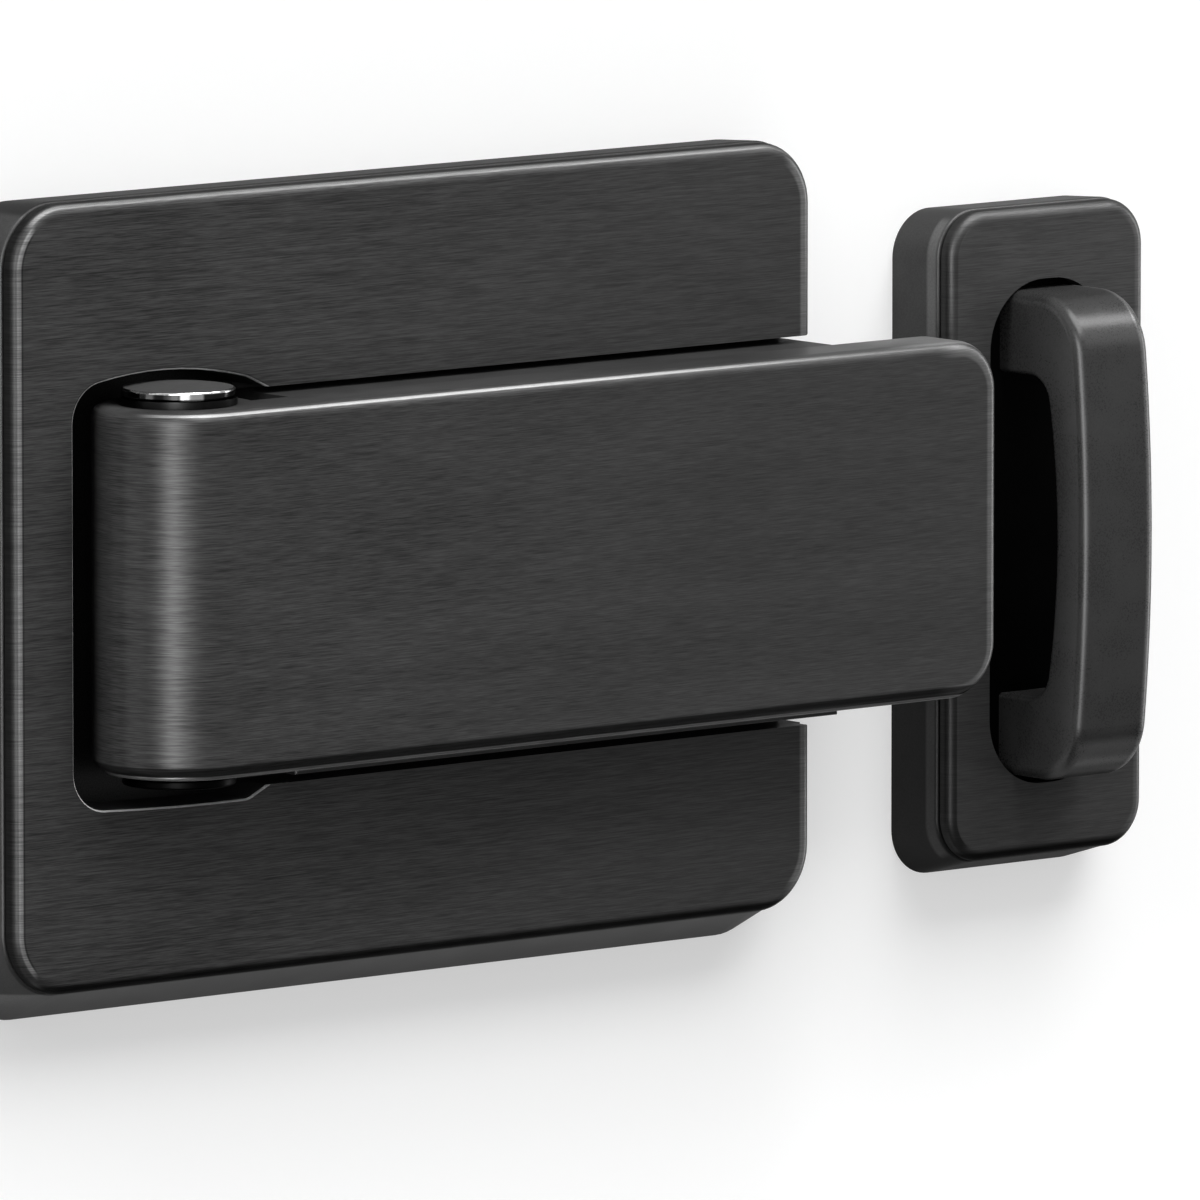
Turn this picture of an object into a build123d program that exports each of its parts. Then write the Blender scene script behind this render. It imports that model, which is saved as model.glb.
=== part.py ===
from build123d import *
from math import asin, degrees, radians, tan
import os

os.makedirs("parts", exist_ok=True)

# Flip lock: a plate with a swinging arm, and the keeper that stands beside it.
# X runs along the closed arm, Y into the wall, Z up. The wall is the plane y = 0.
# Every depth below is a distance out from the wall, towards -Y.

# Lock plate, seen from the front
plate_width = 102.0
plate_height = 77.6
plate_corner = 6.4

# Casting and cover, shared by the lock and the keeper
rim_depth = 5.8
shadow_gap = 0.3
cover_thickness = 1.5
cover_round = 1.15
land_inset = 0.5
rim_reveal = 0.15
rim_round = 0.35
left_flare = 1.1
right_flare = 0.1
top_draw = 0.35
lock_skirt = 3.0
keeper_skirt = 1.7
casting_wall = 2.4
mounting_plate_thickness = 1.0
mounting_plate_gap = 0.1

# Hinge
hinge_from_edge = 18.7
hinge_depth = 9.8
barrel_radius = 8.5
open_angle = 105.0
lug_half_height = 9.0
lug_radius = 5.2
lug_clearance = 0.4
tongue_front = 0.3
tongue_thickness = 2.7
tongue_overlap = 1.0
window_margin = 3.0
bush_wall = 0.65
pin_radius = 2.5
running_fit = 0.05
seated_fit = 0.01
thrust_washer_thickness = 0.3
friction_washer_height = 0.6
friction_washer_wall = 0.25
washer_radius = 4.9
upper_head_washer_thickness = 0.75
lower_head_washer_thickness = 0.2
head_washer_radius = 5.8
head_radius = 5.6
head_rim = 0.9
head_dome = 0.45
head_edge = 0.25
cap_screw_radius = 1.25
cap_screw_length = 8.0
socket_size = 2.5
socket_depth = 0.9

# Arm
arm_top = 18.6
arm_low = 17.2
arm_thickness = 6.0
arm_overhang = 15.5
arm_corner = 5.2
arm_round = 1.15
arm_back_edge = 0.3
lip_height = 0.4
lip_inset = 1.2
lip_round = 0.3

# Slot, pocket and raised bed in the lock plate
slot_above = 0.5
slot_below = 2.65
slot_mouth_round = 0.8
moat_floor = 2.2
moat_above = 0.7
moat_below = 1.4
bed_gap = 0.3
bed_round = 0.35
bed_end_inset = 0.25
pocket_before_hinge = 11.3
pocket_past_hinge = 12.9
pocket_above = 0.9
pocket_below = 3.0
pocket_rise = 1.4
pocket_sag = 0.25
pocket_slope = 0.6
pocket_slant = 2.4
pocket_left_corner = 4.0
pocket_slant_corner = 1.8
pocket_edge = 0.3
pad_radius = 3.0
pad_depth = 1.2
pad_proud = 0.25
pad_spacing = 40.0

# Cored pockets in the back of the lock casting
core_depth = 3.2
core_wall = 1.8
core_ledge = 1.2
core_rib = 1.6
core_rib_spacing = 20.0
core_ribs = 3

# Keeper
keeper_gap = 2.9
keeper_z = -3.15
keeper_width = 26.2
keeper_height = 66.3
keeper_corner = 4.7
recess_width = 15.6
recess_height = 51.5
recess_corner = 7.0
recess_depth = 0.5

# Loop
loop_width = 9.6
loop_height = 49.5
loop_reach = 18.8
loop_bow = 1.7
loop_corner = 6.5
loop_front_wall = 4.6
loop_opening_height = 32.8
loop_opening_corner = 3.0
loop_edge = 1.2
loop_opening_edge = 0.5

# Wall screw holes and the room for their heads
wall_hole_radius = 2.25
wall_head_radius = 4.1
wall_head_room = 3.2
lock_hole_spacing_x = 80.0
lock_hole_spacing_z = 59.0
keeper_hole_from_edge = 6.65

# Cover screws, driven from behind into bosses on the cover
boss_radius = 2.3
boss_height = 2.0
boss_clearance = 0.15
boss_roof = 0.6
cover_screw_radius = 1.2
cover_screw_head_radius = 2.2
cover_screw_head = 1.2
screw_socket_share = 0.6
head_clearance = 0.3
lock_cover_screw_spacing_x = 40.0
lock_cover_screw_spacing_z = 60.0
keeper_cover_screw_spacing_x = 17.6
keeper_cover_screw_from_edge = 4.65

# Loop screws
loop_screw_spacing = 38.0
loop_screw_radius = 1.95
loop_screw_grip = 7.5
loop_screw_head_radius = 3.1
loop_screw_head = 1.9

# Grub screws in the right-hand walls, against tabs folded from the mounting plates
grub_radius = 1.5
grub_depth = 3.2
grub_inset = 0.4
grub_socket = 1.5
grub_socket_depth = 1.6
tab_thickness = 1.0
tab_width = 8.0
tab_reach = 4.6
tab_room = 0.3
tab_from_edge = 4.4
lock_grub_spacing = 58.0
keeper_grub_spacing = 20.0

# Worked out from the sizes above
plate_right = plate_width / 2
hinge_x = hinge_from_edge - plate_right
pocket_left = hinge_x - pocket_before_hinge
pocket_right = hinge_x + pocket_past_hinge
arm_tip = plate_right + arm_overhang
land_depth = rim_depth + shadow_gap
cover_depth = land_depth + cover_thickness
bush_radius = pin_radius + running_fit + bush_wall
arm_front = hinge_depth + barrel_radius
arm_back = arm_front - arm_thickness
arm_bottom = arm_low + lip_height
slot_top = arm_top + slot_above
slot_bottom = arm_bottom + slot_below
slot_middle = (slot_top - slot_bottom) / 2
slot_height = slot_top + slot_bottom
bed_depth = arm_back - bed_gap
bed_top = slot_top - moat_above
bed_bottom = slot_bottom - moat_below
bed_centre_z = (bed_top - bed_bottom) / 2
upper_seat = arm_top + upper_head_washer_thickness
lower_seat = arm_bottom + lower_head_washer_thickness
pocket_top = upper_seat + pocket_above
pocket_bottom = lower_seat + pocket_below
pocket_middle = (pocket_left + pocket_right) / 2
knuckle_top = lug_half_height + thrust_washer_thickness
knuckle_bottom = -lug_half_height - thrust_washer_thickness - friction_washer_height
shell_radius = lug_radius + lug_clearance
tongue_back = tongue_front + tongue_thickness
window_angle = degrees(asin(tongue_back / shell_radius)) + open_angle + window_margin
loop_floor = land_depth - recess_depth
cover_screw_end = cover_depth - boss_roof - head_clearance
dome_radius = (head_radius**2 + head_dome**2) / (2 * head_dome)
dome_half_angle = degrees(asin(head_radius / dome_radius))
bed_right = plate_right - bed_end_inset
bed_middle = (pocket_right + bed_right) / 2
tongue_end = pocket_right + bed_round + tongue_overlap
window_size = 2 * shell_radius
window_edge = window_size * tan(radians(180 - window_angle))
keeper_x = arm_tip + keeper_gap + keeper_width / 2
keeper_right = keeper_x + keeper_width / 2
keeper_hole_spacing = keeper_height - 2 * keeper_hole_from_edge
keeper_cover_screw_spacing_z = keeper_height - 2 * keeper_cover_screw_from_edge
loop_low = keeper_z - loop_height / 2
loop_high = keeper_z + loop_height / 2
opening_low = keeper_z - loop_opening_height / 2
opening_high = keeper_z + loop_opening_height / 2
loop_head_seat = mounting_plate_thickness + head_clearance + loop_screw_head
past = 5.0
near = 0.001


def off_wall(depth):
    return Plane.XZ.offset(depth)


def casting(x, z, width, height, corner, skirt):
    """The casting's outer form: a drafted wall with a low rim, and a land for the cover."""
    outer = corner + rim_reveal
    with BuildSketch(off_wall(0)) as foot:
        with Locations((x + (right_flare - left_flare) / 2, z - (skirt + top_draw) / 2)):
            RectangleRounded(
                width + 2 * rim_reveal + left_flare + right_flare,
                height + 2 * rim_reveal + skirt - top_draw,
                outer,
            )
    with BuildSketch(off_wall(rim_depth)) as rim:
        with Locations((x, z)):
            RectangleRounded(width + 2 * rim_reveal, height + 2 * rim_reveal, outer)
    loft([foot.sketch, rim.sketch], ruled=True)
    fillet(faces().sort_by(Axis.Y)[0].edges(), rim_round)
    with BuildSketch(off_wall(rim_depth)) as land:
        with Locations((x, z)):
            RectangleRounded(
                width - 2 * land_inset, height - 2 * land_inset, corner - land_inset
            )
    extrude(land.sketch, amount=shadow_gap)


def plate_outline(x, z, width, height, corner, gap):
    """The mounting plate's outline inside the casting's wall."""
    inset = casting_wall + gap
    with Locations((x, z)):
        RectangleRounded(width - 2 * inset, height - 2 * inset, corner - casting_wall)


def cover_blank(x, z, width, height, corner):
    """A plain cover with its front edge rounded over."""
    with BuildSketch(off_wall(land_depth)) as outline:
        with Locations((x, z)):
            RectangleRounded(width, height, corner)
    extrude(outline.sketch, amount=cover_thickness)
    fillet(faces().sort_by(Axis.Y)[0].edges(), cover_round)


def discs(x, z, spacing_x, spacing_z, columns, rows, radius, start, end, mode=Mode.ADD):
    """Round bosses, holes or shanks in rows, from one depth to another."""
    with BuildSketch(off_wall(start)) as outline:
        with Locations((x, z)):
            with GridLocations(spacing_x, spacing_z, columns, rows):
                Circle(radius)
    extrude(outline.sketch, amount=end - start, mode=mode)


def cut_wall_screw_room(x, z, spacing_x, spacing_z, columns, rows):
    """Pockets in the back of a casting for the heads of the wall screws."""
    start = mounting_plate_thickness
    end = start + wall_head_room
    discs(x, z, spacing_x, spacing_z, columns, rows, wall_head_radius, start, end, Mode.SUBTRACT)


def cut_cover_screw_room(x, z, spacing_x, spacing_z):
    """Seats in a casting for the cover's bosses, their screws and the screw heads."""
    head_seat = mounting_plate_thickness + cover_screw_head + head_clearance
    steps = [
        (mounting_plate_thickness, head_seat, cover_screw_head_radius + boss_clearance),
        (head_seat, land_depth, cover_screw_radius + boss_clearance),
        (land_depth - boss_height, land_depth, boss_radius + boss_clearance),
    ]
    for start, end, radius in steps:
        discs(x, z, spacing_x, spacing_z, 2, 2, radius, start, end, Mode.SUBTRACT)


def core_lock_casting():
    """Cored pockets in the casting's back, above and below the slot, between ribs."""
    inset = casting_wall + core_ledge
    with BuildSketch(off_wall(mounting_plate_thickness)) as cores:
        RectangleRounded(
            plate_width - 2 * inset, plate_height - 2 * inset, plate_corner - casting_wall
        )
        with Locations((0, slot_middle)):
            Rectangle(plate_width, slot_height + 2 * core_wall, mode=Mode.SUBTRACT)
        with Locations((pocket_middle, (pocket_top - pocket_bottom) / 2)):
            Rectangle(
                pocket_right - pocket_left + 2 * core_wall,
                pocket_top + pocket_bottom + 2 * (pocket_rise + core_wall),
                mode=Mode.SUBTRACT,
            )
        with GridLocations(core_rib_spacing, 0, core_ribs, 1):
            Rectangle(core_rib, plate_height, mode=Mode.SUBTRACT)
        with GridLocations(lock_hole_spacing_x, lock_hole_spacing_z, 2, 2):
            Circle(wall_head_radius + core_wall, mode=Mode.SUBTRACT)
        with GridLocations(lock_cover_screw_spacing_x, lock_cover_screw_spacing_z, 2, 2):
            Circle(boss_radius + core_wall, mode=Mode.SUBTRACT)
        with Locations((plate_right - tab_from_edge, 0)):
            with GridLocations(0, lock_grub_spacing, 1, 2):
                Rectangle(
                    2 * (tab_thickness + core_wall), tab_width + 2 * core_wall, mode=Mode.SUBTRACT
                )
    extrude(cores.sketch, amount=core_depth, mode=Mode.SUBTRACT)


def cover_bosses(x, z, spacing_x, spacing_z):
    """Bosses on the back of a cover, each with a blind hole for its screw."""
    start = land_depth - boss_height
    hole_end = cover_depth - boss_roof
    discs(x, z, spacing_x, spacing_z, 2, 2, boss_radius, start, land_depth)
    discs(
        x, z, spacing_x, spacing_z, 2, 2,
        cover_screw_radius + seated_fit, start, hole_end, Mode.SUBTRACT,
    )


def screws(x, z, spacing_x, spacing_z, rows_x, start, head, head_wide, shank_wide, end):
    """Screws driven towards the front, with a flat head, a shank and a hexagon socket."""
    seat = start + head
    discs(x, z, spacing_x, spacing_z, rows_x, 2, head_wide, start, seat)
    discs(x, z, spacing_x, spacing_z, rows_x, 2, shank_wide, seat, end)
    with BuildSketch(off_wall(start)) as socket:
        with Locations((x, z)):
            with GridLocations(spacing_x, spacing_z, rows_x, 2):
                RegularPolygon(shank_wide, 6)
    extrude(socket.sketch, amount=head * screw_socket_share, mode=Mode.SUBTRACT)


def grub_screws(edge, z, spacing):
    """Grub screws lying along X, from inside the right-hand wall to the tab."""
    start = edge - tab_from_edge
    end = edge - grub_inset
    with BuildSketch(Plane.YZ.offset(start)) as body:
        with Locations((-grub_depth, z)):
            with GridLocations(0, spacing, 1, 2):
                Circle(grub_radius)
    extrude(body.sketch, amount=end - start)
    with BuildSketch(Plane.YZ.offset(end)) as socket:
        with Locations((-grub_depth, z)):
            with GridLocations(0, spacing, 1, 2):
                RegularPolygon(grub_socket / 2, 6)
    extrude(socket.sketch, amount=-grub_socket_depth, mode=Mode.SUBTRACT)


def cut_grub_room(edge, z, spacing):
    """Tapped holes through the right-hand wall and the room for the plate's tabs."""
    with BuildSketch(Plane.YZ.offset(edge - tab_from_edge)) as hole:
        with Locations((-grub_depth, z)):
            with GridLocations(0, spacing, 1, 2):
                Circle(grub_radius + seated_fit)
    extrude(hole.sketch, amount=tab_from_edge + past, mode=Mode.SUBTRACT)
    room = tab_thickness + 2 * tab_room
    with BuildSketch(off_wall(mounting_plate_thickness)) as slots:
        with Locations((edge - tab_from_edge - tab_thickness / 2, z)):
            with GridLocations(0, spacing, 1, 2):
                Rectangle(room, tab_width + 2 * tab_room)
    extrude(
        slots.sketch, amount=tab_reach + tab_room - mounting_plate_thickness, mode=Mode.SUBTRACT
    )


def plate_tabs(edge, z, spacing):
    """Tabs folded forward from a mounting plate."""
    with BuildSketch(off_wall(0)) as tabs:
        with Locations((edge - tab_from_edge - tab_thickness / 2, z)):
            with GridLocations(0, spacing, 1, 2):
                Rectangle(tab_thickness, tab_width)
    extrude(tabs.sketch, amount=tab_reach)


def pocket_outline():
    """The hinge pocket. Its upper edge rises over the pin's head, and at its right end both
    edges slant back to the slot."""
    slant_x = pocket_right - pocket_slant
    low_right = -pocket_bottom - pocket_slope
    with BuildLine() as edge:
        Line((pocket_left, -pocket_bottom), (pocket_left, pocket_top))
        ThreePointArc(
            (pocket_left, pocket_top),
            (pocket_middle, pocket_top + pocket_rise),
            (slant_x, pocket_top),
        )
        Line((slant_x, pocket_top), (pocket_right, slot_top))
        Line((pocket_right, slot_top), (pocket_right, -slot_bottom))
        Line((pocket_right, -slot_bottom), (slant_x, low_right))
        ThreePointArc(
            (slant_x, low_right),
            (pocket_middle, (low_right - pocket_bottom) / 2 - pocket_sag),
            (pocket_left, -pocket_bottom),
        )
    make_face(edge.edges())
    fillet(vertices().group_by(Axis.X)[0], pocket_left_corner)
    slant_ends = vertices().filter_by(lambda v: abs(v.X - slant_x) < near)
    fillet(slant_ends, pocket_slant_corner)


def slot_outline(mouth_round):
    """The slot from the pocket out through the plate's right-hand edge, corners eased."""
    with Locations(((pocket_right + plate_right) / 2 - past / 2, slot_middle)):
        Rectangle(plate_right - pocket_right + past, slot_height)
    with Locations((plate_right + past / 2, slot_middle)):
        Rectangle(past, slot_height + past)
    if mouth_round > 0:
        corners = vertices().filter_by(
            lambda v: abs(v.X - plate_right) < near
            and abs(abs(v.Y - slot_middle) - slot_height / 2) < near
        )
        fillet(corners, mouth_round)


def washer(bottom, thickness, outer, inner):
    """A flat washer round the hinge axis."""
    with BuildSketch(Plane.XY.offset(bottom)) as ring:
        with Locations((hinge_x, -hinge_depth)):
            Circle(outer)
            Circle(inner, mode=Mode.SUBTRACT)
    extrude(ring.sketch, amount=thickness)


# Lock mounting plate
with BuildPart() as lock_mounting_plate:
    with BuildSketch(off_wall(0)):
        plate_outline(0, 0, plate_width, plate_height, plate_corner, mounting_plate_gap)
        with GridLocations(lock_hole_spacing_x, lock_hole_spacing_z, 2, 2):
            Circle(wall_hole_radius, mode=Mode.SUBTRACT)
    extrude(amount=mounting_plate_thickness)
    plate_tabs(plate_right, 0, lock_grub_spacing)
lock_mounting_plate.part.label = "lock_mounting_plate"

# Lock casting, with the bed behind the arm and the hinge lug on the bed's left end
with BuildPart() as lock_base:
    casting(0, 0, plate_width, plate_height, plate_corner, lock_skirt)
    with BuildSketch(off_wall(0)):
        plate_outline(0, 0, plate_width, plate_height, plate_corner, 0)
    extrude(amount=mounting_plate_thickness, mode=Mode.SUBTRACT)
    with BuildSketch(off_wall(moat_floor)):
        slot_outline(0)
    extrude(amount=cover_depth, mode=Mode.SUBTRACT)
    with BuildSketch(off_wall(0)):
        pocket_outline()
    extrude(amount=cover_depth, mode=Mode.SUBTRACT)
    cut_wall_screw_room(0, 0, lock_hole_spacing_x, lock_hole_spacing_z, 2, 2)
    cut_cover_screw_room(0, 0, lock_cover_screw_spacing_x, lock_cover_screw_spacing_z)
    cut_grub_room(plate_right, 0, lock_grub_spacing)
    core_lock_casting()
    with BuildSketch(off_wall(mounting_plate_thickness)):
        with Locations((bed_middle, bed_centre_z)):
            Rectangle(bed_right - pocket_right, bed_top + bed_bottom)
    extrude(amount=bed_depth - mounting_plate_thickness)
    fillet(faces().sort_by(Axis.Y)[0].edges(), bed_round)
    with BuildSketch(off_wall(bed_depth)):
        with Locations((bed_middle, 0)):
            with GridLocations(pad_spacing, 0, 2, 1):
                Circle(pad_radius + seated_fit)
    extrude(amount=-pad_depth, mode=Mode.SUBTRACT)
    with BuildSketch(Plane.XY.offset(-lug_half_height)):
        with Locations((hinge_x, -hinge_depth)):
            Circle(lug_radius)
        with Locations((hinge_x, tongue_front - hinge_depth)):
            Rectangle(tongue_end - hinge_x, tongue_thickness, align=(Align.MIN, Align.MIN))
        with Locations((hinge_x, -hinge_depth)):
            Circle(bush_radius + seated_fit, mode=Mode.SUBTRACT)
    extrude(amount=2 * lug_half_height)
lock_base.part.label = "lock_base"

# Lock cover
with BuildPart() as lock_cover:
    cover_blank(0, 0, plate_width, plate_height, plate_corner)
    cover_bosses(0, 0, lock_cover_screw_spacing_x, lock_cover_screw_spacing_z)
    with BuildSketch(off_wall(land_depth)):
        slot_outline(slot_mouth_round)
    extrude(amount=cover_thickness, mode=Mode.SUBTRACT)
    with BuildSketch(off_wall(land_depth)):
        pocket_outline()
    extrude(amount=cover_thickness, mode=Mode.SUBTRACT)
    pocket_rim = faces().sort_by(Axis.Y)[0].edges().filter_by(
        lambda e: pocket_left - near < e.center().X < pocket_right - near
        and abs(e.center().Z) < pocket_bottom + pocket_slope + pocket_rise
    )
    fillet(pocket_rim, pocket_edge)
lock_cover.part.label = "lock_cover"

# Lock cover screws
with BuildPart() as lock_cover_screws:
    screws(
        0, 0, lock_cover_screw_spacing_x, lock_cover_screw_spacing_z, 2,
        mounting_plate_thickness + head_clearance, cover_screw_head,
        cover_screw_head_radius, cover_screw_radius, cover_screw_end,
    )
lock_cover_screws.part.label = "lock_cover_screws"

# Lock grub screws
with BuildPart() as lock_grub_screws:
    grub_screws(plate_right, 0, lock_grub_spacing)
lock_grub_screws.part.label = "lock_grub_screws"

# Rest pads let into the bed, for the back of the arm
with BuildPart() as arm_rest_pads:
    with BuildSketch(off_wall(bed_depth - pad_depth)):
        with Locations((bed_middle, 0)):
            with GridLocations(pad_spacing, 0, 2, 1):
                Circle(pad_radius)
    extrude(amount=pad_depth + pad_proud)
    fillet(faces().filter_by(GeomType.PLANE).group_by(Axis.Y)[0].edges(), pad_proud / 2)
arm_rest_pads.part.label = "arm_rest_pads"

# Hinge bush, pressed into the lug
with BuildPart() as hinge_bush:
    with BuildSketch(Plane.XY.offset(-lug_half_height)):
        with Locations((hinge_x, -hinge_depth)):
            Circle(bush_radius)
            Circle(pin_radius + running_fit, mode=Mode.SUBTRACT)
    extrude(amount=2 * lug_half_height)
hinge_bush.part.label = "hinge_bush"


# Thrust washers between the lug and the arm's two knuckles
with BuildPart() as upper_thrust_washer:
    washer(lug_half_height, thrust_washer_thickness, washer_radius, pin_radius + running_fit)
upper_thrust_washer.part.label = "upper_thrust_washer"

with BuildPart() as lower_thrust_washer:
    washer(
        -lug_half_height - thrust_washer_thickness,
        thrust_washer_thickness, washer_radius, pin_radius + running_fit,
    )
lower_thrust_washer.part.label = "lower_thrust_washer"

# Friction washer: a dished spring that keeps the arm where it is put
with BuildPart() as friction_washer:
    inner = pin_radius + 2 * running_fit
    with BuildSketch(Plane.XZ.offset(hinge_depth)):
        with BuildLine():
            Polyline(
                (hinge_x + inner, knuckle_bottom + friction_washer_height),
                (hinge_x + washer_radius, knuckle_bottom + friction_washer_wall),
                (hinge_x + washer_radius, knuckle_bottom),
                (hinge_x + inner, knuckle_bottom + friction_washer_height - friction_washer_wall),
                close=True,
            )
        make_face()
    revolve(axis=Axis((hinge_x, -hinge_depth, 0), (0, 0, 1)), revolution_arc=360)
friction_washer.part.label = "friction_washer"

# The arm's flat bar, before it joins its barrel
with BuildPart() as arm_bar:
    with BuildSketch(off_wall(arm_back)):
        with Locations(((hinge_x + arm_tip) / 2, (arm_top - arm_low) / 2)):
            Rectangle(arm_tip - hinge_x, arm_top + arm_low)
        fillet(vertices().group_by(Axis.X)[-1], arm_corner)
    extrude(amount=arm_thickness)
    front_edges = faces().sort_by(Axis.Y)[0].edges()
    fillet(front_edges.filter_by(lambda e: e.center().X > hinge_x + near), arm_round)

# The lip below the bar, set back from its face
with BuildPart() as arm_lip:
    with BuildSketch(off_wall(arm_back)):
        with Locations(((hinge_x + arm_tip) / 2, (arm_top - arm_bottom) / 2)):
            Rectangle(arm_tip - hinge_x, arm_top + arm_bottom)
        fillet(vertices().group_by(Axis.X)[-1], arm_corner)
    extrude(amount=arm_thickness - lip_inset)
    lip_edges = edges().filter_by(
        lambda e: e.center().X > hinge_x + near and e.center().Z < 0
    )
    fillet(lip_edges.group_by(Axis.Y)[0], lip_round)
    back_edges = faces().sort_by(Axis.Y)[-1].edges()
    chamfer(back_edges.filter_by(lambda e: e.center().X > hinge_x + near), arm_back_edge)

# Arm: the bar grows out of a barrel that hides the lug, all one casting
with BuildPart() as arm:
    with BuildSketch(Plane.XZ.offset(hinge_depth)):
        with Locations((hinge_x, -arm_low)):
            Rectangle(barrel_radius, arm_top + arm_low, align=(Align.MIN, Align.MIN))
        fillet(vertices().group_by(Axis.X)[-1], arm_round)
    revolve(axis=Axis((hinge_x, -hinge_depth, 0), (0, 0, 1)), revolution_arc=360)
    with BuildSketch(Plane.XZ.offset(hinge_depth)):
        with Locations((hinge_x, -arm_bottom)):
            Rectangle(barrel_radius - lip_inset, arm_low, align=(Align.MIN, Align.MIN))
        fillet(vertices().group_by(Axis.X)[-1].group_by(Axis.Y)[0], lip_round)
    revolve(axis=Axis((hinge_x, -hinge_depth, 0), (0, 0, 1)), revolution_arc=360)
    add(arm_bar.part)
    add(arm_lip.part)
    with BuildSketch(Plane.XY.offset(knuckle_bottom)):
        with Locations((hinge_x, -hinge_depth)):
            Circle(shell_radius)
        with BuildLine():
            Polyline(
                (hinge_x, -hinge_depth),
                (hinge_x + window_size, -hinge_depth),
                (hinge_x + window_size, window_size - hinge_depth),
                (hinge_x - window_size, window_size - hinge_depth),
                (hinge_x - window_size, window_edge - hinge_depth),
                close=True,
            )
        make_face()
    extrude(amount=knuckle_top - knuckle_bottom, mode=Mode.SUBTRACT)
    with BuildSketch(Plane.XY.offset(-arm_bottom)):
        with Locations((hinge_x, -hinge_depth)):
            Circle(pin_radius + seated_fit)
    extrude(amount=arm_bottom + arm_top, mode=Mode.SUBTRACT)
arm.part.label = "arm"


# Washers under the pin's two heads
with BuildPart() as upper_head_washer:
    washer(
        arm_top, upper_head_washer_thickness,
        head_washer_radius, pin_radius + running_fit,
    )
upper_head_washer.part.label = "upper_head_washer"

with BuildPart() as lower_head_washer:
    washer(
        -lower_seat, lower_head_washer_thickness,
        head_washer_radius, pin_radius + running_fit,
    )
lower_head_washer.part.label = "lower_head_washer"


def domed_pin(seat, way, shank, end):
    """A turned pin on the hinge axis: a shank to its end, and a low domed head past its seat."""
    rim = seat + way * head_rim
    crown = rim + way * head_dome
    with BuildSketch(Plane.XZ.offset(hinge_depth)) as half:
        with BuildLine() as edge:
            Polyline(
                (hinge_x, crown),
                (hinge_x, end),
                (hinge_x + shank, end),
                (hinge_x + shank, seat),
                (hinge_x + head_radius, seat),
                (hinge_x + head_radius, rim),
            )
            CenterArc(
                (hinge_x, crown - way * dome_radius),
                dome_radius,
                way * (90 - dome_half_angle),
                way * dome_half_angle,
            )
        make_face(edge.edges())
        fillet(half.vertices().group_by(Axis.X)[-1], head_edge)
    revolve(
        half.sketch, axis=Axis((hinge_x, -hinge_depth, 0), (0, 0, 1)), revolution_arc=360
    )


# Hinge pin: domed head above, tapped hole below
with BuildPart() as hinge_pin:
    domed_pin(upper_seat, 1, pin_radius, -arm_bottom)
    with BuildSketch(Plane.XY.offset(-arm_bottom)):
        with Locations((hinge_x, -hinge_depth)):
            Circle(cap_screw_radius + seated_fit)
    extrude(amount=cap_screw_length + head_clearance, mode=Mode.SUBTRACT)
hinge_pin.part.label = "hinge_pin"

# Cap screw: the pin's lower head, with a hexagon socket
with BuildPart() as pin_cap_screw:
    domed_pin(-lower_seat, -1, cap_screw_radius, cap_screw_length - lower_seat)
    with BuildSketch(Plane.XY.offset(-lower_seat - head_rim - head_dome)):
        with Locations((hinge_x, -hinge_depth)):
            RegularPolygon(socket_size / 2, 6)
    extrude(amount=socket_depth, mode=Mode.SUBTRACT)
pin_cap_screw.part.label = "pin_cap_screw"

# Keeper mounting plate
with BuildPart() as keeper_mounting_plate:
    with BuildSketch(off_wall(0)):
        plate_outline(
            keeper_x, keeper_z, keeper_width, keeper_height, keeper_corner, mounting_plate_gap
        )
        with Locations((keeper_x, keeper_z)):
            with GridLocations(0, keeper_hole_spacing, 1, 2):
                Circle(wall_hole_radius, mode=Mode.SUBTRACT)
    extrude(amount=mounting_plate_thickness)
    plate_tabs(keeper_right, keeper_z, keeper_grub_spacing)
keeper_mounting_plate.part.label = "keeper_mounting_plate"

# Keeper casting, with a shallow seat for the loop's feet
with BuildPart() as keeper_base:
    casting(keeper_x, keeper_z, keeper_width, keeper_height, keeper_corner, keeper_skirt)
    with BuildSketch(off_wall(0)):
        plate_outline(keeper_x, keeper_z, keeper_width, keeper_height, keeper_corner, 0)
    extrude(amount=mounting_plate_thickness, mode=Mode.SUBTRACT)
    with BuildSketch(off_wall(loop_floor)):
        with Locations((keeper_x, keeper_z)):
            RectangleRounded(recess_width, recess_height, recess_corner)
    extrude(amount=recess_depth, mode=Mode.SUBTRACT)
    cut_wall_screw_room(keeper_x, keeper_z, 0, keeper_hole_spacing, 1, 2)
    cut_cover_screw_room(
        keeper_x, keeper_z, keeper_cover_screw_spacing_x, keeper_cover_screw_spacing_z
    )
    cut_grub_room(keeper_right, keeper_z, keeper_grub_spacing)
    discs(
        keeper_x, keeper_z, 0, loop_screw_spacing, 1, 2,
        loop_screw_head_radius + boss_clearance, mounting_plate_thickness,
        loop_head_seat, Mode.SUBTRACT,
    )
    discs(
        keeper_x, keeper_z, 0, loop_screw_spacing, 1, 2,
        loop_screw_radius + boss_clearance, loop_head_seat, loop_floor, Mode.SUBTRACT,
    )
keeper_base.part.label = "keeper_base"

# Keeper cover
with BuildPart() as keeper_cover:
    cover_blank(keeper_x, keeper_z, keeper_width, keeper_height, keeper_corner)
    cover_bosses(
        keeper_x, keeper_z, keeper_cover_screw_spacing_x, keeper_cover_screw_spacing_z
    )
    with BuildSketch(off_wall(land_depth)):
        with Locations((keeper_x, keeper_z)):
            RectangleRounded(recess_width, recess_height, recess_corner)
    extrude(amount=cover_thickness, mode=Mode.SUBTRACT)
keeper_cover.part.label = "keeper_cover"

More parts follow.
